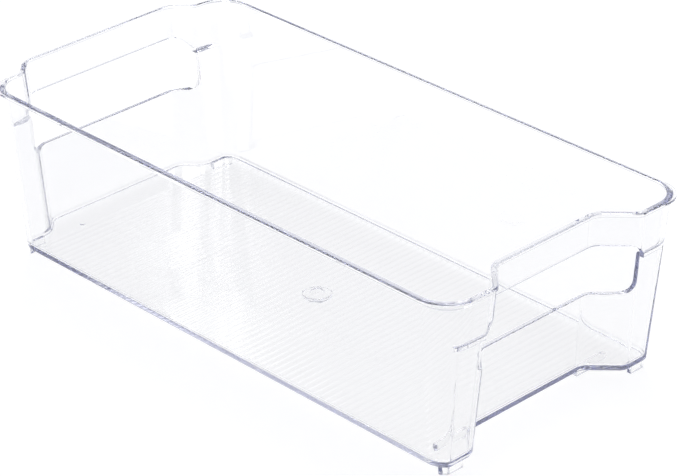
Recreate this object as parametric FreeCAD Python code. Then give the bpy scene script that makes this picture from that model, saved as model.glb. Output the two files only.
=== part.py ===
import FreeCAD, Part
import math
import os

# A clear stack-or-nest storage bin, injection moulded in one shot from one plastic.
# +X runs along the length towards the recessed front end, +Z is up, z = 0 is the surface
# that the feet stand on. The moulding is divided into its named regions, which meet face
# to face: every wall face leans outwards by its draft, so its place depends on the height.

# Driving dimensions, in millimetres and degrees
overall_length = 320.0      # over the rim, from the back bulge to the front posts
overall_width = 155.0       # over the rim
overall_height = 91.0       # feet to rim
foot_height = 3.8
floor_thickness = 2.2
floor_edge_radius = 1.2     # rounding under the floor's outer edge
edge_flats = 3
wall = 2.2
side_draft = 4.9            # lean of the two long walls
end_draft = 4.75            # lean of every wall face of both ends
corner_radius_top = 17.0    # of the walls' outer face at the rim
corner_radius_bottom = 11.5
corner_relief = 3.8         # the set-back walls' corners are this much sharper
bead_overhang = 0.4         # the rim bead stands this far proud of the walls
bead_height = 1.8
lip_radius = 13.0           # outer corner radius of the lips on the rim's corners
lip_height = 1.2
shut_off = 2.2              # the end walls under the hand slots stand this far inboard
ledge_thickness = 3.0
slot_top_drop = 17.4        # these three are measured down from the rim
slot_bottom_drop = 44.3
ledge_drop = 24.9
slot_corner_radius = 6.5
foot_inset = 0.6
foot_wall = 2.4
foot_depth = 4.4            # reach of a corner foot from its end face
foot_reach = 13.0           # and from its long wall
bar_length = 20.0           # the two straight feet beside the front bay
bar_width = 2.8
bar_from_bay = 4.0
bar_inset = 1.8
rib_pitch = 4.0
rib_width = 1.6
rib_height = 0.4
rib_margin = 3.0            # plain border between the ribs and the walls
gate_diameter = 14.0
gate_height = 0.6
slot_top_radius = 1.6
side_wall_margin = 3.0      # the long walls end this far before the corners' arcs
slack = 1.0                 # how far a cutting solid reaches past what it cuts

# Each end, at the rim's outer edge: how far its middle bay stands in (+) or out (-), the
# plan width of a corner post, the width taken by a flank, how far the slot runs past the
# flank, the two ends of the step under the handle band measured from the slot's end, and
# the flank's roundings.
front = {"side": 1, "inward": 14.8, "post": 31.2, "flank": 14.2, "slot_reach": 4.8,
         "step_in": 5.4, "step_out": 2.9, "post_round": 7.0, "bay_round": 7.0}
back = {"side": -1, "inward": -13.8, "post": 21.2, "flank": 9.5, "slot_reach": -2.8,
        "step_in": 3.5, "step_out": 3.5, "post_round": 7.0, "bay_round": 10.0}

rim_z = overall_height
bead_z = rim_z - bead_height
lip_z = bead_z + lip_height
under_z = foot_height
floor_z = under_z + floor_thickness
slot_top_z = rim_z - slot_top_drop
slot_bottom_z = rim_z - slot_bottom_drop
ledge_z = rim_z - ledge_drop
side_lean = math.tan(math.radians(side_draft))
end_lean = math.tan(math.radians(end_draft))
half_width = overall_width / 2
front_rim_x = overall_length / 2
back_rim_x = -overall_length / 2 - back["inward"]   # the back posts: the bulge reaches past them
far = overall_length                                # larger than anything it has to cut


def side_y(z):
    """Outer face of a long wall at height z."""
    return half_width - bead_overhang - (rim_z - z) * side_lean


def rim_x(end):
    """Outer edge of the rim over an end's corner posts."""
    return front_rim_x if end["side"] > 0 else back_rim_x


def post_x(end, z, setback):
    """Outer face of an end's corner posts at height z."""
    return rim_x(end) - end["side"] * (bead_overhang + (rim_z - z) * end_lean + setback)


def post_y(end):
    return half_width - end["post"]


def bay_y(end):
    return post_y(end) - end["flank"]


def slot_end_y(end):
    return post_y(end) + end["slot_reach"]


def corner_radius(z):
    share = (z - under_z) / (rim_z - under_z)
    return corner_radius_bottom + share * (corner_radius_top - corner_radius_bottom)


def end_corners(end):
    """Sharp corners of one end of the rim's outer edge from its -Y side to its +Y side.

    Each is (x, y, radius), and the radius of a main corner, which depends on the height, is None.
    """
    bay_x = rim_x(end) - end["side"] * end["inward"]
    near = [(rim_x(end), -half_width, None), (rim_x(end), -post_y(end), end["post_round"]),
            (bay_x, -bay_y(end), end["bay_round"])]
    return near + [(x, -y, r) for x, y, r in reversed(near)]


def plan_corners(z, inset=0.0, setback=0.0):
    """The walls' plan at height z, anticlockwise, with every edge moved in by its draft and the inset."""
    outline = end_corners(front) + end_corners(back)[::-1]
    main_radius = corner_radius(z) - (corner_relief if setback else 0.0)
    side_offset = bead_overhang + (rim_z - z) * side_lean + inset
    end_offset = bead_overhang + (rim_z - z) * end_lean + setback + inset
    edges = []
    for (ax, ay, _), (bx, by, _) in zip(outline, outline[1:] + outline[:1]):
        length = math.hypot(bx - ax, by - ay)
        dx, dy = (bx - ax) / length, (by - ay) / length
        offset = side_offset if ay == by else end_offset
        edges.append((ax - dy * offset, ay + dx * offset, dx, dy))
    moved = []
    for i, (_, _, radius) in enumerate(outline):
        px, py, pdx, pdy = edges[i - 1]
        qx, qy, qdx, qdy = edges[i]
        turn = pdx * qdy - pdy * qdx
        along = ((qx - px) * qdy - (qy - py) * qdx) / turn
        kept_radius = (main_radius if radius is None else radius) - math.copysign(inset, turn)
        moved.append((px + pdx * along, py + pdy * along, kept_radius))
    return moved


def rounded_wire(corners, z):
    """Closed wire of straight runs and tangent arcs through sharp corners."""
    count = len(corners)
    arcs = []
    for i in range(count):
        x, y, radius = corners[i]
        here = FreeCAD.Vector(x, y, z)
        before = FreeCAD.Vector(corners[i - 1][0], corners[i - 1][1], z)
        after = FreeCAD.Vector(corners[(i + 1) % count][0], corners[(i + 1) % count][1], z)
        back_dir = (before - here).normalize()
        on_dir = (after - here).normalize()
        half = back_dir.getAngle(on_dir) / 2
        reach = radius / math.tan(half)
        bisector = (back_dir + on_dir).normalize()
        middle = here + bisector * (radius / math.sin(half) - radius)
        arcs.append((here + back_dir * reach, middle, here + on_dir * reach))
    edges = []
    for i in range(count):
        start, middle, stop = arcs[i]
        edges.append(Part.Arc(start, middle, stop).toShape())
        edges.append(Part.LineSegment(stop, arcs[(i + 1) % count][0]).toShape())
    return Part.Wire(edges)


def stack(levels, setback=0.0):
    """Solid through (height, inset) levels of the walls' plan.

    A set-back one stays inside the plain one, so only the end half of each corner steps in.
    """
    wires = [rounded_wire(plan_corners(z, inset, setback), z) for z, inset in levels]
    solid = Part.makeLoft(wires, True, True)
    return solid.common(stack(levels)) if setback else solid


def block(z0, z1, inset=0.0, setback=0.0):
    """Solid between two heights inside the walls' outer face, less an inset."""
    return stack([(z0, inset), (z1, inset)], setback)


def skin(z0, z1, setback=0.0):
    """The walls all round between two heights."""
    return block(z0, z1, 0.0, setback).cut(block(z0 - slack, z1 + slack, wall, setback))


def box(x0, x1, y0, y1, z0=-slack, z1=overall_height + slack):
    corner = FreeCAD.Vector(min(x0, x1), min(y0, y1), z0)
    return Part.makeBox(abs(x1 - x0), abs(y1 - y0), z1 - z0, corner)


def across(end, outline):
    """Prism along X over one end from an outline of (y, z) points or (y, z, radius) corners."""
    start = FreeCAD.Vector(end["side"] * overall_length / 4, 0, 0)
    if len(outline[0]) == 3:
        flat = rounded_wire(outline, 0.0)
        turn = FreeCAD.Placement(start, FreeCAD.Rotation(FreeCAD.Vector(1, 1, 1), 120))
        flat.Placement = turn
        face = Part.Face(flat)
    else:
        points = [FreeCAD.Vector(start.x, y, z) for y, z in outline]
        face = Part.Face(Part.makePolygon(points + points[:1]))
    return face.extrude(FreeCAD.Vector(end["side"] * far, 0, 0))


def below_band(end):
    """Everything under the upper walls of one end: the slot's top, the step and the ledge."""
    y_in = slot_end_y(end) - end["step_in"]
    y_out = slot_end_y(end) + end["step_out"]
    right = [(y_in, slot_top_z), (y_out, ledge_z), (far, ledge_z)]
    left = [(-y, z) for y, z in reversed(right)]
    return across(end, [(-far, -far)] + left + right + [(far, -far)])


def slot_hole(end):
    """Clear space of a hand slot: rounded below, open upwards to the band."""
    y = slot_end_y(end)
    r = slot_corner_radius
    return across(end, [(-y, slot_bottom_z, r), (y, slot_bottom_z, r),
                        (y, slot_top_z, slot_top_radius), (-y, slot_top_z, slot_top_radius)])


def corner_cut_x(end):
    """Where the long walls stop and a corner post begins, clear of the corner's arc."""
    arc_start = min(abs(post_x(end, z, shut_off)) - corner_radius(z) for z in (under_z, rim_z))
    return end["side"] * (arc_start - side_wall_margin)


def keep(shape, region):
    return shape.common(region)


def long_region(side):
    """Everything along one long wall, between the corner posts."""
    y = side_y(floor_z) - wall - slack
    return box(corner_cut_x(back), corner_cut_x(front), side * y, side * far)


def middle_region(end):
    """Everything between the two posts of one end."""
    y = slot_end_y(end)
    return box(end["side"] * overall_length / 4, end["side"] * far, -y, y)


def post_region(end, side):
    return box(corner_cut_x(end), end["side"] * far, side * slot_end_y(end), side * far)


parts = {}
ends = (("front", front), ("back", back))
sides = (("right", -1), ("left", 1))

# Floor, whose lower edge is rounded in a few flats
floor = block(under_z + floor_edge_radius, floor_z, 0.0, shut_off)
angles = [math.radians(90 * i / edge_flats) for i in range(edge_flats + 1)]
levels = [(under_z + floor_edge_radius * (1 - math.cos(angle)), floor_edge_radius * (1 - math.sin(angle)))
          for angle in angles]
for low, high in zip(levels, levels[1:]):
    floor = floor.fuse([stack([low, high], shut_off)])
parts["floor_panel"] = floor.removeSplitter()

# Fine ribs across the floor, clipped to a plain border
rib_field = block(floor_z, floor_z + rib_height, wall + rib_margin, shut_off)
rib_start = post_x(back, floor_z, shut_off) + wall + rib_margin
rib_stop = post_x(front, floor_z, shut_off) - wall - rib_margin
rib_count = int((rib_stop - rib_start) / rib_pitch)
ribs = []
for i in range(rib_count):
    x = rib_start + (i + 0.5) * rib_pitch
    ribs += keep(rib_field, box(x - rib_width / 2, x + rib_width / 2, -far, far)).Solids
parts["floor_ribs"] = Part.makeCompound(ribs)

# Moulding gate mark under the middle of the floor
parts["gate_pad"] = Part.makeCylinder(gate_diameter / 2, gate_height,
                                      FreeCAD.Vector(0, 0, under_z - gate_height))

upper = skin(slot_bottom_z, bead_z)
lower = skin(floor_z, ledge_z + ledge_thickness, shut_off)
full = skin(floor_z, bead_z)
ledge_ring = block(ledge_z - slack, ledge_z + ledge_thickness).cut(
    block(ledge_z - 2 * slack, ledge_z + ledge_thickness + slack, wall, shut_off))

# Long walls
for side_name, side in sides:
    parts[side_name + "_side_wall"] = keep(full, long_region(side))

# The two ends: handle band over the slot, bay wall under it, a post at each corner
for end_name, end in ends:
    band = upper.cut(below_band(end))
    parts[end_name + "_handle_band"] = keep(band, middle_region(end))
    low_wall = keep(lower, box(-far, far, -far, far, floor_z, slot_top_z)).cut(slot_hole(end))
    parts[end_name + "_bay_wall"] = keep(low_wall, middle_region(end))
    posts = upper.fuse([ledge_ring]).cut(below_band(end)).fuse([lower]).removeSplitter()
    for side_name, side in sides:
        parts[end_name + "_" + side_name + "_corner"] = keep(posts, post_region(end, side))


# Rim bead over the walls, with a thin lip outside each corner
def rim_plug(inset, z0, z1, radius=None):
    """Straight solid inside the rim's outline; a radius given replaces that of the main corners."""
    corners = plan_corners(rim_z, inset)
    if radius is not None:
        main_y = half_width - corner_radius_bottom
        corners = [(x, y, radius if abs(y) > main_y else r) for x, y, r in corners]
    return Part.makeLoft([rounded_wire(corners, z0), rounded_wire(corners, z1)], True, True)


def rim_ring(z0, z1, radius=None):
    opening = rim_plug(wall, z0 - slack, z1 + slack)
    return rim_plug(-bead_overhang, z0, z1, radius).cut(opening)


bead = rim_ring(bead_z, rim_z)
lip = rim_ring(bead_z, lip_z, lip_radius)
for side_name, side in sides:
    parts[side_name + "_rim"] = keep(bead, long_region(side))
for end_name, end in ends:
    parts[end_name + "_rim"] = keep(bead, middle_region(end))
    for side_name, side in sides:
        corner = keep(bead.fuse([lip]), post_region(end, side)).removeSplitter()
        parts[end_name + "_" + side_name + "_rim_corner"] = corner

# Feet: an arc under the end half of each corner, and two short bars beside the front bay
foot_ring = block(0.0, under_z, foot_inset, shut_off).cut(
    block(-slack, under_z + slack, foot_inset + foot_wall, shut_off))
feet = []
y = side_y(under_z) - foot_reach
for _, end in ends:
    x = post_x(end, under_z, shut_off) - end["side"] * foot_depth
    for _, side in sides:
        feet += keep(foot_ring, box(x, end["side"] * far, side * y, side * far)).Solids
parts["corner_feet"] = Part.makeCompound(feet)

x = post_x(front, under_z, shut_off) - front["inward"]
bars = []
for _, side in sides:
    y = side * (bay_y(front) + bar_from_bay)
    bars.append(box(x - bar_inset - bar_width, x - bar_inset, y, y + side * bar_length, 0.0, under_z))
parts["front_feet"] = Part.makeCompound(bars)

for name, shape in parts.items():
    print(name, len(shape.Solids), "valid" if shape.isValid() else "INVALID",
          "volume %.1f" % shape.Volume)
os.makedirs("parts", exist_ok=True)
for name, shape in parts.items():
    shape.exportStep("parts/" + name + ".step")
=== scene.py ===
import math

import bmesh
import bpy
from bpy.props import FloatProperty, FloatVectorProperty, PointerProperty
from mathutils import Matrix, Vector


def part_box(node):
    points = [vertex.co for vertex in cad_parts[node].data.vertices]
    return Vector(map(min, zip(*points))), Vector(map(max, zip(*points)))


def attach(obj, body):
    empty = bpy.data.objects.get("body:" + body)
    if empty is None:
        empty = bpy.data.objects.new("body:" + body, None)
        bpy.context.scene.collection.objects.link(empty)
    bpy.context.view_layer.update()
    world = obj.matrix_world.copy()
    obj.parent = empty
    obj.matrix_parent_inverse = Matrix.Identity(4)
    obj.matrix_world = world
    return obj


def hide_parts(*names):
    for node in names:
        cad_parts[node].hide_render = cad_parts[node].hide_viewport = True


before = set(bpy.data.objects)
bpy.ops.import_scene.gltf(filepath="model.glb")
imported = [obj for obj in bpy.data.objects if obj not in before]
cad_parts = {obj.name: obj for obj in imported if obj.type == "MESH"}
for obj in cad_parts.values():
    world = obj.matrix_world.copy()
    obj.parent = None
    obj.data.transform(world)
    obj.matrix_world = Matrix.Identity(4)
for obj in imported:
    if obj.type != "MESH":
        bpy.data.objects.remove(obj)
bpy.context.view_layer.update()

bl_info = {
    "name": "Fridge Bin",
    "version": (1, 0, 0),
    "blender": (4, 5, 0),
    "location": "View3D > Sidebar > Fridge Bin",
    "description": "Models a clear moulded storage bin around its packed frame, with its stage",
    "category": "Add Mesh",
}

MM = 0.001
TOUCH = 0.01 * MM          # two places closer than this are the same place

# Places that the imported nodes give.
FLOOR_LOW, FLOOR_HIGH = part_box("floor_panel")
RIM_LOW, RIM_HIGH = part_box("right_rim")
FRONT_POST_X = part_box("front_right_rim_corner")[1].x
BACK_POST_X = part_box("back_right_rim_corner")[0].x
FRONT_BAY_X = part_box("front_rim")[0].x + (RIM_HIGH.y - RIM_LOW.y)
BACK_BAY_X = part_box("back_rim")[0].x
BAR_LOW, BAR_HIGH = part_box("front_feet")
GATE_LOW, GATE_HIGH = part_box("gate_pad")
RIB_LOW, RIB_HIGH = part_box("floor_ribs")
SLOT_END = {"front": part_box("front_rim")[1].y, "back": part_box("back_rim")[1].y}

RIM_Z = RIM_HIGH.z
BEAD_Z = RIM_LOW.z
UNDER_Z = FLOOR_LOW.z
FLOOR_Z = FLOOR_HIGH.z
HALF_WIDTH = -RIM_LOW.y
CAD_RIB_WIDTH = 1.6 * MM
BAR_LENGTH = 20.0 * MM
FOOT_REACH = 55.7 * MM     # a corner foot starts this far from the middle plane
BEYOND = 2.5 * HALF_WIDTH  # farther out than either end
END_ZONE = 0.6 * FRONT_BAY_X
LEVEL_NORMAL = 0.01        # a face with a smaller X part of its normal runs along X

# How finely the curves are drawn.
MAIN_SEGMENTS = 16
FLANK_SEGMENTS = 8
ROUND_STEPS = 4
SLOT_CORNER_SEGMENTS = 10
SLANT_SEGMENTS = 4
SLANT_PROFILE = 0.3        # between a flat chamfer, 0.25, and an arc, 0.5
SLOT_EDGE_SEGMENTS = 4
SMALL_SEGMENTS = 3
RIB_STEPS = 8
GATE_VERTICES = 48
RING_SEGMENTS = (64, 16)
PIP_VERTICES = 32
SMALLEST_RADIUS = 0.3 * MM
PARTING = 0.05 * MM        # the lips stand this far proud of the bead, so the two never coincide
OVERLAP = 0.5 * MM         # how far a joined shape reaches into the moulding
RIB_SUNK = 0.3 * MM
GATE_EDGE = 0.25 * MM
PIP_EDGE = 0.6             # share of the pip's height that its rounding takes
SMOOTH_ANGLE = 35          # degrees; faces that meet more sharply keep a crisp edge
FACE_WEIGHT = 100          # large faces alone decide the shading's direction
RIPPLE_DETAIL = 2.0
RIPPLE_ROUGHNESS = 0.4
MATT = 0.9

# The stage.
STAGE_SIZE = 12.0
STAGE_GAP = 0.05 * MM      # keeps the feet's soles from lying in the floor's own plane
SOFTBOX_REACH = 1.0
SOFTBOX_HEIGHT = 1.8
SOFTBOX_WIDTH = 0.8
STRIP_DISTANCE = 1500 * MM
STRIP_HEIGHT = 220 * MM
STRIP_LIGHTS = ((-152 * MM, 28 * MM), (-114 * MM, 11 * MM), (-98 * MM, 12 * MM))  # place across, width
SWEEP_FADE = (-0.4, 0.3)   # cosine of the turn from the sweep's middle, dim to bright
HORIZON_FADE = (-0.15, 0.1)  # height of the direction, dim to bright
BOUNCES = 192              # light runs far inside the plastic before it leaves by an edge
SENSOR_WIDTH = 36.0


def length(name, text, default):
    """A length that the user can change, in metres."""
    return FloatProperty(name=name, description=text, default=default, min=0.0, unit="LENGTH", precision=5)


def number(name, text, default):
    """A plain number that the user can change."""
    return FloatProperty(name=name, description=text, default=default)


def angle(name, text, degrees):
    """An angle that the user can change, given in degrees."""
    return FloatProperty(name=name, description=text, default=math.radians(degrees), unit="ROTATION")


def colour(name, text, hex_code):
    """A colour that the user can change, given as an sRGB hex value."""
    return FloatVectorProperty(name=name, description=text, default=linear(hex_code), size=4,
                               min=0.0, max=1.0, subtype="COLOR")


def linear(hex_code):
    """A linear colour from an sRGB hex value."""
    parts = [int(hex_code[i:i + 2], 16) / 255 for i in (0, 2, 4)]
    return tuple(c / 12.92 if c <= 0.04045 else ((c + 0.055) / 1.055) ** 2.4 for c in parts) + (1.0,)


class BinSizes(bpy.types.PropertyGroup):
    """Sizes of the moulding"""
    wall: length("Wall", "Thickness of every wall", 2.2 * MM)
    side_draft: angle("Side draft", "Lean of the two long walls", 4.9)
    end_draft: angle("End draft", "Lean of every wall of both ends", 4.75)
    corner_top: length("Corner radius, top", "Outer radius of the corners at the rim", 17.0 * MM)
    corner_bottom: length("Corner radius, bottom", "Outer radius of the corners at the floor", 11.5 * MM)
    post_front: length("Front post", "Plan width of a corner post at the front", 31.2 * MM)
    post_back: length("Back post", "Plan width of a corner post at the back", 21.2 * MM)
    flank_front: length("Front flank", "Width taken by a slanted flank at the front", 14.2 * MM)
    flank_back: length("Back flank", "Width taken by a slanted flank at the back", 9.5 * MM)
    post_round: length("Post rounding", "Rounding between a post and its flank", 7.0 * MM)
    bay_round_front: length("Front bay rounding", "Rounding between the front bay and its flanks", 7.0 * MM)
    bay_round_back: length("Back bay rounding", "Rounding between the back bay and its flanks", 10.0 * MM)
    bead_overhang: length("Bead overhang", "How far the rim bead stands proud of the walls", 0.4 * MM)
    lip_radius: length("Lip radius", "Outer radius of the thin lip at each rim corner", 13.0 * MM)
    lip_height: length("Lip height", "Height of that lip", 1.2 * MM)
    shut_off: length("Shut-off", "How far the end walls step inboard below the ledge", 2.2 * MM)
    ledge_drop: length("Ledge drop", "Height of the rim above the ledge", 24.9 * MM)
    ledge_thickness: length("Ledge thickness", "Thickness of the ledge where the end walls step", 2.2 * MM)
    slot_top_drop: length("Slot top drop", "Height of the rim above the top of a hand slot", 17.4 * MM)
    slot_bottom_drop: length("Slot bottom drop", "Height of the rim above the bottom of a slot", 44.3 * MM)
    slot_round: length("Slot rounding", "Rounding of a slot's lower corners", 6.5 * MM)
    slot_slant: length("Slot slant", "Run of the slant at a slot's upper corners", 5.2 * MM)
    floor_round: length("Floor rounding", "Rounding under the floor's outer edge", 1.4 * MM)
    floor_fillet: length("Floor fillet", "Fillet inside, between the floor and the walls", 1.9 * MM)
    edge_round: length("Edge rounding", "Rounding of the rim's inner edge and of the ledges", 0.3 * MM)
    slot_edge: length("Slot edge rounding", "Rounding of a hand slot's upper and lower edges", 0.5 * MM)
    rim_round: length("Rim rounding", "Rounding of the rim's outer edge", 0.8 * MM)
    ledge_crown: length("Ledge crown", "Rounding inside, where a ledge turns down into the wall", 1.6 * MM)
    foot_inset: length("Foot inset", "How far the feet stand in from the floor's edge", 0.6 * MM)
    foot_wall: length("Foot wall", "Thickness of a corner foot", 2.4 * MM)
    foot_depth: length("Foot depth", "Reach of a corner foot from its end face", 4.4 * MM)
    rib_pitch: length("Rib pitch", "Distance between the floor's fine ribs", 4.0 * MM)
    rib_width: length("Rib width", "Width of a rib", 3.2 * MM)
    rib_height: length("Rib height", "Height of a rib", 0.09 * MM)
    rib_margin: length("Rib margin", "Plain border between the ribs and the walls", 3.0 * MM)
    gate_ring: length("Gate ring", "Middle radius of the raised ring over the gate", 5.4 * MM)
    gate_ring_width: length("Gate ring width", "Width of that ring", 4.0 * MM)
    gate_ring_height: length("Gate ring height", "Height of that ring", 0.35 * MM)
    pip_width: length("Pip width", "Width of the ejector pip on the floor", 2.6 * MM)
    pip_height: length("Pip height", "Height of that pip", 0.5 * MM)
    pip_place: FloatVectorProperty(name="Pip place", description="Middle of the pip on the floor", size=2,
                                   default=(-133.0 * MM, -35.0 * MM), subtype="XYZ", precision=5)


class BinLooks(bpy.types.PropertyGroup):
    """Plastic, floor and light"""
    plastic_tint: colour("Plastic tint", "Colour that thick plastic turns white light to", "8B91CE")
    plastic_depth: length("Tint depth", "Path through the plastic that gives the tint in full", 360.0 * MM)
    plastic_colour: colour("Plastic surface", "Colour of the light that the surface scatters", "FCFCFC")
    haze: number("Haze", "Share of the light that the surface scatters", 0.003)
    roughness: number("Roughness", "Roughness of the polished plastic", 0.02)
    gate_roughness: number("Gate roughness", "Roughness of the frosted gate mark", 0.06)
    frost_inner: length("Frost, inner", "Radius within which the gate mark is frosted in full", 6.4 * MM)
    frost_outer: length("Frost, outer", "Radius past which the floor is polished", 7.6 * MM)
    plastic_ior: number("Plastic IOR", "Refraction of the clear plastic", 1.57)
    ripple_size: length("Ripple size", "Width of the slight waves of the surface", 60.0 * MM)
    ripple_height: length("Ripple height", "Height of those waves", 0.05 * MM)
    floor_colour: colour("Floor", "Colour of the stage's floor", "8C8C8A")
    floor_glow: number("Floor glow", "Light that the stage's floor gives", 0.9)
    softbox_power: number("Softbox power", "Power of the overhead softbox in watts", 8.0)
    strip_radiance: number("Strip lights", "Brightness of the strip lights", 1.8)
    room_dim: colour("Room", "Colour of the room in front of the bin", "585E90")
    room_bright: colour("Sweep", "Colour of the studio sweep behind the bin", "E2E4EA")
    sweep_azimuth: angle("Sweep azimuth", "Turn of the sweep about the vertical", 46.2)


class CameraPlace(bpy.types.PropertyGroup):
    """Where the camera stands and how it looks"""
    aim: FloatVectorProperty(name="Aim", description="Point that the camera looks at", subtype="TRANSLATION",
                             default=(13.4 * MM, 1.07 * MM, 40.0 * MM), precision=5)
    distance: length("Distance", "From the aim point to the camera", 1426.0 * MM)
    azimuth: angle("Azimuth", "Turn of the camera about the vertical", 46.21)
    elevation: angle("Elevation", "Height of the camera above the horizon", 28.62)
    roll: angle("Roll", "Turn of the camera about its own axis", -0.6)
    lens: number("Lens", "Focal length in millimetres", 160.4)


def deselect_all():
    """Leave edit mode if it is on, and deselect every object."""
    if bpy.context.object and bpy.context.object.mode != "OBJECT":
        bpy.ops.object.mode_set(mode="OBJECT")
    bpy.ops.object.select_all(action="DESELECT")


def activate(*objects):
    """Select these objects alone, the last one active."""
    deselect_all()
    for obj in objects:
        obj.select_set(True)
    bpy.context.view_layer.objects.active = objects[-1]


def edit_mesh(mode="VERT"):
    """Enter edit mode on the active object with nothing selected, and give its mesh."""
    bpy.ops.object.mode_set(mode="EDIT")
    bpy.ops.mesh.select_mode(type=mode)
    bpy.ops.mesh.select_all(action="DESELECT")
    return bmesh.from_edit_mesh(bpy.context.object.data)


def select_verts(wanted):
    """Select the vertices of the edited mesh for which wanted(vertex) holds."""
    mesh = bmesh.from_edit_mesh(bpy.context.object.data)
    for vert in mesh.verts:
        vert.select = wanted(vert)
    mesh.select_flush_mode()
    bmesh.update_edit_mesh(bpy.context.object.data)


def select_edges(wanted):
    """Select the edges of the edited mesh for which wanted(edge) holds."""
    mesh = bmesh.from_edit_mesh(bpy.context.object.data)
    bpy.ops.mesh.select_all(action="DESELECT")
    for edge in mesh.edges:
        edge.select = wanted(edge)
    bmesh.update_edit_mesh(bpy.context.object.data)


def finish_edit():
    """Merge seams, turn the faces outwards and leave edit mode."""
    bpy.ops.mesh.select_all(action="SELECT")
    bpy.ops.mesh.remove_doubles(threshold=TOUCH)
    bpy.ops.mesh.normals_make_consistent(inside=False)
    bpy.ops.object.mode_set(mode="OBJECT")


def combine(target, tool, operation):
    """Boolean of two closed meshes; the tool is removed."""
    activate(target)
    modifier = target.modifiers.new(operation, "BOOLEAN")
    modifier.operation = operation
    modifier.solver = "MANIFOLD"
    modifier.object = tool
    bpy.ops.object.modifier_apply(modifier=modifier.name)
    bpy.data.objects.remove(tool)


class Level:
    """One closed outline of the moulding.

    It has a height, an inset from the walls' outer face, and a step inboard at the ends alone. A lip has
    its own corner radius, and a draft height lets an outline keep the walls' lean of another height.
    """

    def __init__(self, z, inset=0.0, step=0.0, lip=False, height=None):
        self.z = z
        self.inset = inset
        self.step = step
        self.lip = lip
        self.draft_z = z if height is None else height


def sharp_outline():
    """The rim's sharp corners, anticlockwise from the front's right one, each with its kind."""
    s = bpy.context.scene.bin_sizes
    front_y = HALF_WIDTH - s.post_front
    back_y = HALF_WIDTH - s.post_back
    front = [(FRONT_POST_X, -HALF_WIDTH, "main"), (FRONT_POST_X, -front_y, "post"),
             (FRONT_BAY_X, -(front_y - s.flank_front), "bay_front")]
    back = [(BACK_POST_X, -HALF_WIDTH, "main"), (BACK_POST_X, -back_y, "post"),
            (BACK_BAY_X, -(back_y - s.flank_back), "bay_back")]
    front += [(x, -y, kind) for x, y, kind in reversed(front)]
    back += [(x, -y, kind) for x, y, kind in reversed(back)]
    return front + back[::-1]


def corner_radius(z):
    """Outer radius of the four corners at a height."""
    s = bpy.context.scene.bin_sizes
    share = (z - UNDER_Z) / (RIM_Z - UNDER_Z)
    return s.corner_bottom + share * (s.corner_top - s.corner_bottom)


def corners_at(level):
    """Sharp corners of a level, as (corner, bisector, half angle, radius, kind)."""
    s = bpy.context.scene.bin_sizes
    drop = RIM_Z - level.draft_z
    side_in = s.bead_overhang + drop * math.tan(s.side_draft) + level.inset
    end_in = s.bead_overhang + drop * math.tan(s.end_draft) + level.step + level.inset
    rounding = {"main": s.lip_radius if level.lip else corner_radius(level.draft_z), "post": s.post_round,
                "bay_front": s.bay_round_front, "bay_back": s.bay_round_back}
    outline = sharp_outline()
    edges = []
    for (ax, ay, _), (bx, by, _) in zip(outline, outline[1:] + outline[:1]):
        along = Vector((bx - ax, by - ay)).normalized()
        inward = Vector((-along.y, along.x))
        edges.append((Vector((ax, ay)) + inward * (side_in if ay == by else end_in), along))
    corners = []
    for i, (_, _, kind) in enumerate(outline):
        (p, p_dir), (q, q_dir) = edges[i - 1], edges[i]
        turn = p_dir.cross(q_dir)
        corner = p + p_dir * ((q - p).cross(q_dir) / turn)
        bisector = (q_dir - p_dir).normalized()
        half = (-p_dir).angle(q_dir) / 2
        shift = 0.0 if level.lip and kind == "main" else math.copysign(level.inset, turn)
        corners.append((corner, bisector, half, rounding[kind] - shift, kind))
    return corners


def arcs_at(level):
    """Centre and radius of the arc at every corner, and of the end half of a main one.

    Below the ledge the end half is drawn tighter, so the end face steps in while the side half stays.
    """
    arcs = {}
    for i, (corner, bisector, half, radius, kind) in enumerate(corners_at(level)):
        if kind != "main":
            arcs[i, "all"] = (corner + bisector * (radius / math.sin(half)), radius)
            continue
        plain = corner + Vector((math.copysign(level.step, corner.x), 0.0))
        centre = plain + bisector * (radius / math.sin(half))
        arcs[i, "side"] = (centre, radius)
        tight = max(radius - level.step / (1 - math.sqrt(0.5)), SMALLEST_RADIUS)
        arcs[i, "end"] = (centre - bisector * (radius - tight), tight)
    return arcs


def start_outline(level):
    """A filled outline: a twelve-sided disc whose corners are placed and rounded, each arc tagged."""
    corners = corners_at(level)
    deselect_all()
    bpy.ops.mesh.primitive_circle_add(vertices=len(corners), radius=HALF_WIDTH, fill_type="NGON",
                                      location=(0.0, 0.0, level.z))
    bpy.ops.object.transform_apply(location=True, rotation=True, scale=True)
    mesh = edit_mesh()
    tag = mesh.verts.layers.int.new("corner")
    mesh.verts.layers.int.new("end_half")
    mesh.verts.ensure_lookup_table()
    forwards = mesh.verts[0].co.xy.cross(mesh.verts[1].co.xy) > 0
    for vert in mesh.verts:
        vert[tag] = vert.index if forwards else len(corners) - 1 - vert.index
    for i, (target, *_) in enumerate(corners):
        select_verts(lambda v: v[tag] == i)
        place = next(v.co for v in mesh.verts if v.select)
        bpy.ops.transform.translate(value=(target.x - place.x, target.y - place.y, 0.0))
    for i, (corner, bisector, half, radius, kind) in enumerate(corners):
        select_verts(lambda v: v[tag] == i)
        segments = MAIN_SEGMENTS if kind == "main" else FLANK_SEGMENTS
        bpy.ops.mesh.bevel(offset=radius / math.tan(half), segments=segments, affect="VERTICES",
                           offset_type="OFFSET", profile=0.5, clamp_overlap=False)
        mesh = bmesh.from_edit_mesh(bpy.context.object.data)
        tag = mesh.verts.layers.int["corner"]
        end_tag = mesh.verts.layers.int["end_half"]
        centre = corner + bisector * (radius / math.sin(half))
        for vert in mesh.verts:
            if vert.select:
                reach = vert.co.xy - centre
                vert[tag] = i
                vert[end_tag] = int(kind == "main" and abs(reach.x) > abs(reach.y) - TOUCH)


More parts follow.
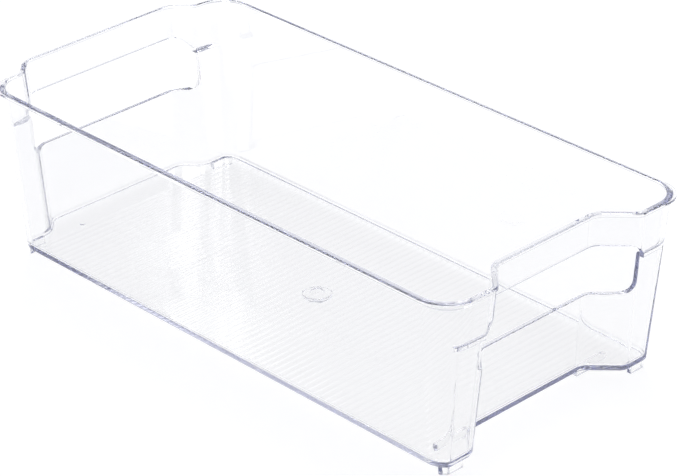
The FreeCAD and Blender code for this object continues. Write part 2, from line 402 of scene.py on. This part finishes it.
def shift_arcs(old, new):
    """Move the selected outline from one level's arcs to another's, arc by arc."""
    mesh = bmesh.from_edit_mesh(bpy.context.object.data)
    tag = mesh.verts.layers.int["corner"]
    end_tag = mesh.verts.layers.int["end_half"]
    outline = {v.index for v in mesh.verts if v.select}
    old_arcs = arcs_at(old)
    for (i, half), (centre, radius) in arcs_at(new).items():
        old_centre, old_radius = old_arcs[i, half]
        shift = centre - old_centre
        scale = radius / old_radius
        select_verts(lambda v: v.index in outline and v[tag] == i and v[end_tag] == int(half == "end"))
        bpy.ops.transform.translate(value=(shift.x, shift.y, 0.0))
        bpy.ops.transform.resize(value=(scale, scale, 1.0), center_override=(centre.x, centre.y, new.z))
    select_verts(lambda v: v.index in outline)


def extrude_through(name, levels):
    """Closed solid: an outline that is extruded from level to level."""
    first = levels[0]
    plain = Level(first.z, first.inset, 0.0, first.lip, first.draft_z)
    start_outline(plain)
    select_verts(lambda v: True)
    shift_arcs(plain, first)
    for low, high in zip(levels, levels[1:]):
        bpy.ops.mesh.extrude_region_move(TRANSFORM_OT_translate={"value": (0.0, 0.0, high.z - low.z)})
        shift_arcs(low, high)
    finish_edit()
    solid = bpy.context.object
    solid.name = name
    return solid


def quarter(steps=ROUND_STEPS):
    """Sine and cosine along a quarter turn, from 0 to 90 degrees."""
    return [(math.sin(math.pi / 2 * i / steps), math.cos(math.pi / 2 * i / steps)) for i in range(steps + 1)]


def shell_levels():
    """The moulding's skin from under the floor, up outside, over the rim and down inside to the floor."""
    s = bpy.context.scene.bin_sizes
    under, edge, fillet, top = s.floor_round, s.edge_round, s.floor_fillet, s.rim_round
    step, rim_out = s.shut_off, -s.bead_overhang
    ledge_z = RIM_Z - s.ledge_drop
    ledge_top = ledge_z + s.ledge_thickness
    crown = s.ledge_crown
    hollow = step - crown
    lip_z = BEAD_Z + s.lip_height
    levels = [Level(UNDER_Z + under * (1 - cos), under * (1 - sin), step) for sin, cos in quarter()]
    levels += [Level(ledge_z - edge * (1 - sin), 0.0, step - edge * (1 - cos)) for sin, cos in quarter()]
    levels += [Level(ledge_z + edge * (1 - cos), 0.0, edge * (1 - sin)) for sin, cos in quarter()]
    levels += [Level(BEAD_Z, 0.0)]
    levels += [Level(z, rim_out - PARTING, 0.0, True, RIM_Z) for z in (BEAD_Z, lip_z)]
    levels += [Level(lip_z, rim_out, 0.0, False, RIM_Z)]
    levels += [Level(RIM_Z - top * (1 - sin), rim_out + top * (1 - cos), 0.0, False, RIM_Z)
               for sin, cos in quarter()]
    levels += [Level(RIM_Z - edge * (1 - cos), s.wall - edge * (1 - sin)) for sin, cos in quarter()]
    levels += [Level(ledge_top + hollow * (1 - sin), s.wall, hollow * (1 - cos)) for sin, cos in quarter()]
    levels += [Level(ledge_top - crown * (1 - cos), s.wall, step - crown * (1 - sin))
               for sin, cos in quarter()]
    levels += [Level(FLOOR_Z + fillet * (1 - sin), s.wall + fillet * (1 - cos), step)
               for sin, cos in quarter()]
    return levels


def cut_box(name, low, high):
    """A cube primitive between two corners, active and alone selected."""
    deselect_all()
    middle = [(a + b) / 2 for a, b in zip(low, high)]
    bpy.ops.mesh.primitive_cube_add(size=1.0, location=middle)
    solid = bpy.context.object
    solid.name = name
    solid.scale = [b - a for a, b in zip(low, high)]
    bpy.ops.object.transform_apply(location=True, rotation=True, scale=True)
    return solid


def is_lengthwise(edge):
    """Whether an edge runs along X."""
    a, b = edge.verts[0].co, edge.verts[1].co
    return abs(a.y - b.y) < TOUCH and abs(a.z - b.z) < TOUCH


def bevel_edges(wanted, offset, segments, profile=0.5, clamp=True):
    """Round the active object's edges for which wanted(edge) holds."""
    edit_mesh("EDGE")
    select_edges(wanted)
    bpy.ops.mesh.bevel(offset=offset, segments=segments, affect="EDGES", profile=profile,
                       clamp_overlap=clamp)
    bpy.ops.object.mode_set(mode="OBJECT")


class BIN_OT_add_shell(bpy.types.Operator):
    """Mould the walls, floor, ledges and rim as one closed skin"""
    bl_idname = "fridge_bin.add_shell"
    bl_label = "Add the moulded shell"

    def execute(self, context):
        extrude_through("moulded_bin", shell_levels())
        return {"FINISHED"}


class BIN_OT_cut_slots(bpy.types.Operator):
    """Cut a hand slot through the walls of each end and round its edges"""
    bl_idname = "fridge_bin.cut_slots"
    bl_label = "Cut the hand slots"

    def execute(self, context):
        s = context.scene.bin_sizes
        shell = bpy.data.objects["moulded_bin"]
        bottom = RIM_Z - s.slot_bottom_drop
        top = RIM_Z - s.slot_top_drop
        for end, side in (("front", 1), ("back", -1)):
            y = SLOT_END[end]
            low_x, high_x = sorted((side * HALF_WIDTH, side * BEYOND))
            cutter = cut_box(end + "_slot_cutter", (low_x, -y, bottom), (high_x, y, top))
            bevel_edges(lambda e: is_lengthwise(e) and e.verts[0].co.z < (bottom + top) / 2,
                        s.slot_round, SLOT_CORNER_SEGMENTS)
            bevel_edges(lambda e: is_lengthwise(e) and e.verts[0].co.z > top - TOUCH,
                        s.slot_slant, SLANT_SEGMENTS, SLANT_PROFILE)
            combine(shell, cutter, "DIFFERENCE")
        ledge_high = RIM_Z - s.ledge_drop + s.ledge_thickness + s.shut_off

        def is_in_slot(vert):
            end_y = SLOT_END["front" if vert.co.x > 0 else "back"]
            return (abs(vert.co.x) > END_ZONE and abs(vert.co.y) < end_y + TOUCH
                    and bottom - TOUCH < vert.co.z < top + TOUCH)

        def is_slot_face(face):
            return abs(face.normal.x) < LEVEL_NORMAL and all(is_in_slot(v) for v in face.verts)

        def is_slot_edge(edge):
            """The slots' edges, apart from those beside the ledge, where the wall turns too tightly."""
            return (sum(is_slot_face(face) for face in edge.link_faces) == 1
                    and all(abs(v.co.z - bottom) < TOUCH or v.co.z > ledge_high for v in edge.verts))

        activate(shell)
        edit_mesh("EDGE")
        select_edges(is_slot_edge)
        bpy.ops.mesh.remove_doubles(threshold=0.5 * s.slot_edge)
        bpy.ops.object.mode_set(mode="OBJECT")
        bevel_edges(is_slot_edge, s.slot_edge, SLOT_EDGE_SEGMENTS, clamp=False)
        return {"FINISHED"}


class BIN_OT_add_feet(bpy.types.Operator):
    """Mould the four corner feet and the two bars under the front onto the floor"""
    bl_idname = "fridge_bin.add_feet"
    bl_label = "Add the feet"

    def execute(self, context):
        s = context.scene.bin_sizes
        shell = bpy.data.objects["moulded_bin"]
        sunk = UNDER_Z + 0.5 * s.wall
        outer = [Level(0.0, s.foot_inset, s.shut_off), Level(sunk, s.foot_inset, s.shut_off)]
        inner = [Level(z, s.foot_inset + s.foot_wall, s.shut_off) for z in (-s.wall, sunk + s.wall)]
        feet = extrude_through("corner_feet_form", outer)
        combine(feet, extrude_through("foot_core", inner), "DIFFERENCE")
        keepers = []
        for end_x, side_x in ((FRONT_POST_X, 1), (BACK_POST_X, -1)):
            x = end_x - side_x * (s.bead_overhang + (RIM_Z - UNDER_Z) * math.tan(s.end_draft)
                                  + s.shut_off + s.foot_depth)
            for side_y in (-1, 1):
                low_x, high_x = sorted((x, side_x * 2 * HALF_WIDTH + x))
                low_y, high_y = sorted((side_y * FOOT_REACH, side_y * 2 * HALF_WIDTH))
                keepers.append(cut_box("foot_region", (low_x, low_y, -s.wall), (high_x, high_y, 2 * sunk)))
        activate(*keepers)
        bpy.ops.object.join()
        combine(feet, bpy.context.object, "INTERSECT")
        combine(shell, feet, "UNION")
        for side in (-1, 1):
            low_y, high_y = sorted((side * (BAR_HIGH.y - BAR_LENGTH), side * BAR_HIGH.y))
            bar = cut_box("foot_bar", (BAR_LOW.x, low_y, BAR_LOW.z), (BAR_HIGH.x, high_y, sunk))
            bevel_edges(lambda e: max(v.co.z for v in e.verts) < UNDER_Z, s.edge_round, SMALL_SEGMENTS)
            combine(shell, bar, "UNION")
        return {"FINISHED"}


def low_arch(name, place, width, height, run):
    """A long low rib along Y whose top is a shallow arc, reaching a little below its place."""
    radius = (width * width / 4 + height * height) / (2 * height)
    opening = 2 * math.asin(width / 2 / radius)
    centre = Vector((place[0], place[1], place[2] + height - radius))
    deselect_all()
    bpy.ops.mesh.primitive_plane_add(size=run, location=place)
    rib = bpy.context.object
    rib.name = name
    bpy.ops.object.transform_apply(location=True, rotation=True, scale=True)
    edit_mesh()
    select_verts(lambda v: v.co.x > place[0])
    bpy.ops.mesh.delete(type="VERT")
    bpy.ops.mesh.select_all(action="SELECT")
    bpy.ops.transform.translate(value=(run / 2 - width / 2, 0.0, 0.0))
    bpy.ops.mesh.spin(steps=RIB_STEPS, angle=opening, center=centre, axis=(0.0, -1.0, 0.0))
    bpy.ops.mesh.select_all(action="SELECT")
    bpy.ops.mesh.extrude_region_move(TRANSFORM_OT_translate={"value": (0.0, 0.0, -RIB_SUNK)})
    finish_edit()
    return rib


class BIN_OT_add_ribs(bpy.types.Operator):
    """Raise the fine ribs across the floor, clipped to a plain border"""
    bl_idname = "fridge_bin.add_ribs"
    bl_label = "Add the floor ribs"

    def execute(self, context):
        s = context.scene.bin_sizes
        shell = bpy.data.objects["moulded_bin"]
        start = (RIB_LOW.x + CAD_RIB_WIDTH / 2, 0.0, FLOOR_Z)
        count = round((RIB_HIGH.x - RIB_LOW.x - CAD_RIB_WIDTH) / s.rib_pitch) + 1
        rib = low_arch("floor_ribs_form", start, s.rib_width, s.rib_height, 2 * HALF_WIDTH)
        array = rib.modifiers.new("Ribs", "ARRAY")
        array.use_relative_offset = False
        array.use_constant_offset = True
        array.constant_offset_displace = (s.rib_pitch, 0.0, 0.0)
        array.count = count
        bpy.ops.object.modifier_apply(modifier=array.name)
        border = s.wall + s.rib_margin
        field = extrude_through("rib_field", [Level(FLOOR_Z - 2 * RIB_SUNK, border, s.shut_off),
                                              Level(FLOOR_Z + 2 * RIB_SUNK, border, s.shut_off)])
        combine(rib, field, "INTERSECT")
        combine(shell, rib, "UNION")
        return {"FINISHED"}


class BIN_OT_add_marks(bpy.types.Operator):
    """Add the round gate mark under the floor and the ejector pip near the back"""
    bl_idname = "fridge_bin.add_marks"
    bl_label = "Add the moulding marks"

    def execute(self, context):
        s = context.scene.bin_sizes
        shell = bpy.data.objects["moulded_bin"]
        high = GATE_HIGH.z + OVERLAP
        deselect_all()
        bpy.ops.mesh.primitive_cylinder_add(vertices=GATE_VERTICES, radius=(GATE_HIGH.x - GATE_LOW.x) / 2,
                                            depth=high - GATE_LOW.z,
                                            location=(0.0, 0.0, (high + GATE_LOW.z) / 2))
        bpy.ops.object.transform_apply(location=True, rotation=True, scale=True)
        bevel_edges(lambda e: max(v.co.z for v in e.verts) < GATE_LOW.z + TOUCH, GATE_EDGE, SMALL_SEGMENTS)
        combine(shell, context.object, "UNION")
        deselect_all()
        bpy.ops.mesh.primitive_torus_add(major_radius=s.gate_ring, minor_radius=s.gate_ring_width / 2,
                                         major_segments=RING_SEGMENTS[0], minor_segments=RING_SEGMENTS[1],
                                         location=(0.0, 0.0, 0.0))
        ring = context.object
        ring.scale.z = 2 * s.gate_ring_height / s.gate_ring_width
        ring.location.z = FLOOR_Z
        bpy.ops.object.transform_apply(location=True, rotation=True, scale=True)
        combine(shell, ring, "UNION")
        deselect_all()
        bpy.ops.mesh.primitive_cylinder_add(vertices=PIP_VERTICES, radius=s.pip_width / 2,
                                            depth=2 * s.pip_height,
                                            location=(s.pip_place[0], s.pip_place[1], FLOOR_Z))
        bpy.ops.object.transform_apply(location=True, rotation=True, scale=True)
        bevel_edges(lambda e: min(v.co.z for v in e.verts) > FLOOR_Z, PIP_EDGE * s.pip_height,
                    SMALL_SEGMENTS)
        combine(shell, context.object, "UNION")
        return {"FINISHED"}


def node(tree, kind, links=None, **settings):
    """Add a node with its settings, and join sockets of it: name -> value or (node, output)."""
    added = tree.nodes.new(kind)
    for key, value in settings.items():
        setattr(added, key, value)
    for name, source in (links or {}).items():
        if isinstance(source, tuple) and isinstance(source[0], bpy.types.Node):
            tree.links.new(source[0].outputs[source[1]], added.inputs[name])
        else:
            added.inputs[name].default_value = source
    return added


def new_material(name):
    """A material with an empty node tree."""
    material = bpy.data.materials.new(name)
    material.use_nodes = True
    material.node_tree.nodes.clear()
    return material


def clear_polystyrene():
    """Clear general-purpose polystyrene, injection moulded against polished steel.

    It is as clear and glossy as glass. A faint cool tint shows only where light runs far inside the
    plastic, along the rim and the edges. The walls have slight waves from the flow, and the gate mark is
    a little frosted.
    """
    looks = bpy.context.scene.bin_looks
    material = new_material("clear_polystyrene_moulded")
    tree = material.node_tree
    place = node(tree, "ShaderNodeTexCoord")
    ripple = node(tree, "ShaderNodeTexNoise", {"Vector": (place, "Object"), "Scale": 1 / looks.ripple_size,
                                               "Detail": RIPPLE_DETAIL, "Roughness": RIPPLE_ROUGHNESS})
    bump = node(tree, "ShaderNodeBump",
                {"Height": (ripple, "Fac"), "Strength": 1.0, "Distance": looks.ripple_height})
    flat = node(tree, "ShaderNodeVectorMath", {0: (place, "Object"), 1: (1.0, 1.0, 0.0)},
                operation="MULTIPLY")
    reach = node(tree, "ShaderNodeVectorMath", {0: (flat, "Vector")}, operation="LENGTH")
    frost = node(tree, "ShaderNodeMapRange",
                 {"Value": (reach, "Value"), "From Min": looks.frost_inner, "From Max": looks.frost_outer,
                  "To Min": looks.gate_roughness, "To Max": looks.roughness},
                 interpolation_type="SMOOTHSTEP")
    surface = node(tree, "ShaderNodeBsdfPrincipled",
                   {"Normal": (bump, "Normal"), "Base Color": tuple(looks.plastic_colour),
                    "Roughness": (frost, "Result"), "IOR": looks.plastic_ior,
                    "Transmission Weight": 1.0 - looks.haze})
    tint = node(tree, "ShaderNodeVolumeAbsorption", {"Color": tuple(looks.plastic_tint),
                                                     "Density": 1 / looks.plastic_depth})
    node(tree, "ShaderNodeOutputMaterial", {"Surface": (surface, "BSDF"), "Volume": (tint, "Volume")})
    return material


def light_table():
    """Opal acrylic, cast and sanded, lit from below: matt, even and close to shadowless."""
    looks = bpy.context.scene.bin_looks
    material = new_material("opal_acrylic_light_table")
    tree = material.node_tree
    surface = node(tree, "ShaderNodeBsdfPrincipled",
                   {"Base Color": tuple(looks.floor_colour), "Roughness": MATT, "Specular IOR Level": 0.0,
                    "Emission Color": (1.0, 1.0, 1.0, 1.0), "Emission Strength": looks.floor_glow})
    node(tree, "ShaderNodeOutputMaterial", {"Surface": (surface, "BSDF")})
    return material


def pale_room():
    """The light of a pale studio sweep behind the bin, with a dimmer room in front of it."""
    looks = bpy.context.scene.bin_looks
    world = bpy.data.worlds.new("pale_room")
    world.use_nodes = True
    tree = world.node_tree
    tree.nodes.clear()
    direction = node(tree, "ShaderNodeTexCoord")
    sweep = Vector((-math.sin(looks.sweep_azimuth), math.cos(looks.sweep_azimuth), 0.0))
    facing = node(tree, "ShaderNodeVectorMath", {0: (direction, "Generated"), 1: sweep},
                  operation="DOT_PRODUCT")
    share = node(tree, "ShaderNodeMapRange",
                 {"Value": (facing, "Value"), "From Min": SWEEP_FADE[0], "From Max": SWEEP_FADE[1]},
                 interpolation_type="SMOOTHSTEP")
    parts = node(tree, "ShaderNodeSeparateXYZ", {"Vector": (direction, "Generated")})
    height = node(tree, "ShaderNodeMapRange",
                  {"Value": (parts, "Z"), "From Min": HORIZON_FADE[0], "From Max": HORIZON_FADE[1]},
                  interpolation_type="SMOOTHSTEP")
    both = node(tree, "ShaderNodeMath", {0: (share, "Result"), 1: (height, "Result")}, operation="MULTIPLY")
    shade = node(tree, "ShaderNodeMix", {"Factor": (both, "Value"), "A": tuple(looks.room_dim),
                                         "B": tuple(looks.room_bright)}, data_type="RGBA")
    background = node(tree, "ShaderNodeBackground", {"Color": (shade, "Result")})
    node(tree, "ShaderNodeOutputWorld", {"Surface": (background, "Background")})
    return world


class BIN_OT_finish_moulding(bpy.types.Operator):
    """Smooth the finished moulding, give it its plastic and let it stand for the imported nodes"""
    bl_idname = "fridge_bin.finish_moulding"
    bl_label = "Finish the moulding"

    def execute(self, context):
        shell = bpy.data.objects["moulded_bin"]
        activate(shell)
        bpy.ops.object.shade_smooth_by_angle(angle=math.radians(SMOOTH_ANGLE))
        weighted = shell.modifiers.new("Weighted", "WEIGHTED_NORMAL")
        weighted.keep_sharp = True
        weighted.weight = FACE_WEIGHT
        bpy.ops.object.modifier_apply(modifier=weighted.name)
        shell.data.materials.clear()
        shell.data.materials.append(clear_polystyrene())
        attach(shell, "root")
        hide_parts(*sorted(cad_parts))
        return {"FINISHED"}


class BIN_OT_add_stage(bpy.types.Operator):
    """Add the floor, the soft light and the camera"""
    bl_idname = "fridge_bin.add_stage"
    bl_label = "Add the stage"

    def execute(self, context):
        looks = context.scene.bin_looks
        place = context.scene.camera_place
        deselect_all()
        bpy.ops.mesh.primitive_plane_add(size=STAGE_SIZE, location=(0.0, 0.0, -STAGE_GAP))
        floor = context.object
        floor.name = "stage_floor"
        floor.data.materials.append(light_table())
        context.scene.world = pale_room()
        away = Matrix.Rotation(place.azimuth, 4, "Z").to_3x3()
        softbox_place = away @ Vector((0.0, SOFTBOX_REACH, SOFTBOX_HEIGHT))
        bpy.ops.object.light_add(type="AREA", location=softbox_place)
        softbox = context.object
        softbox.name = "overhead_softbox"
        softbox.rotation_euler = (-math.atan2(SOFTBOX_REACH, SOFTBOX_HEIGHT), 0.0, place.azimuth)
        softbox.data.shape = "DISK"
        softbox.data.size = SOFTBOX_WIDTH
        softbox.data.energy = looks.softbox_power
        softbox.visible_camera = False
        strip_z = STRIP_DISTANCE * math.tan(place.elevation)
        for i, (across, width) in enumerate(STRIP_LIGHTS):
            bpy.ops.object.light_add(type="AREA", location=away @ Vector((across, STRIP_DISTANCE, strip_z)))
            strip = context.object
            strip.name = f"strip_light_{i}"
            strip.data.shape = "RECTANGLE"
            strip.data.size = width
            strip.data.size_y = STRIP_HEIGHT
            strip.rotation_euler = (place.elevation - math.pi / 2, 0.0, place.azimuth)
            strip.data.energy = looks.strip_radiance * math.pi * width * STRIP_HEIGHT
            strip.visible_camera = False
        turn = (Matrix.Rotation(place.azimuth, 4, "Z")
                @ Matrix.Rotation(math.pi / 2 - place.elevation, 4, "X")
                @ Matrix.Rotation(place.roll, 4, "Z"))
        back_off = Matrix.Translation((0.0, 0.0, place.distance))
        bpy.ops.object.camera_add()
        camera = context.object
        camera.name = "camera"
        camera.matrix_world = Matrix.Translation(Vector(place.aim)) @ turn @ back_off
        camera.data.lens = place.lens
        camera.data.sensor_width = SENSOR_WIDTH
        context.scene.camera = camera
        context.scene.view_settings.view_transform = "Standard"
        context.scene.cycles.max_bounces = BOUNCES
        context.scene.cycles.transmission_bounces = BOUNCES
        context.scene.cycles.glossy_bounces = BOUNCES
        return {"FINISHED"}


class BIN_PT_panel(bpy.types.Panel):
    """Sizes, looks and the steps, in the 3D view's sidebar"""
    bl_label = "Fridge Bin"
    bl_idname = "BIN_PT_panel"
    bl_space_type = "VIEW_3D"
    bl_region_type = "UI"
    bl_category = "Fridge Bin"

    def draw(self, context):
        for group in (context.scene.bin_sizes, context.scene.bin_looks, context.scene.camera_place):
            column = self.layout.column()
            for key in group.bl_rna.properties.keys():
                if key not in ("rna_type", "name"):
                    column.prop(group, key)
        for operator in OPERATORS:
            self.layout.operator(operator.bl_idname)


GROUPS = (BinSizes, BinLooks, CameraPlace)
OPERATORS = (BIN_OT_add_shell, BIN_OT_cut_slots, BIN_OT_add_feet, BIN_OT_add_ribs, BIN_OT_add_marks,
             BIN_OT_finish_moulding, BIN_OT_add_stage)


def register():
    """Register the classes and hang the property groups on the scene."""
    for cls in GROUPS + OPERATORS + (BIN_PT_panel,):
        bpy.utils.register_class(cls)
    bpy.types.Scene.bin_sizes = PointerProperty(type=BinSizes)
    bpy.types.Scene.bin_looks = PointerProperty(type=BinLooks)
    bpy.types.Scene.camera_place = PointerProperty(type=CameraPlace)


def unregister():
    """Undo register."""
    del bpy.types.Scene.camera_place
    del bpy.types.Scene.bin_looks
    del bpy.types.Scene.bin_sizes
    for cls in reversed(GROUPS + OPERATORS + (BIN_PT_panel,)):
        bpy.utils.unregister_class(cls)


def main():
    """Build the bin and its stage."""
    register()
    bpy.ops.fridge_bin.add_shell()
    bpy.ops.fridge_bin.cut_slots()
    bpy.ops.fridge_bin.add_feet()
    bpy.ops.fridge_bin.add_ribs()
    bpy.ops.fridge_bin.add_marks()
    bpy.ops.fridge_bin.finish_moulding()
    bpy.ops.fridge_bin.add_stage()


if __name__ == "__main__":
    main()
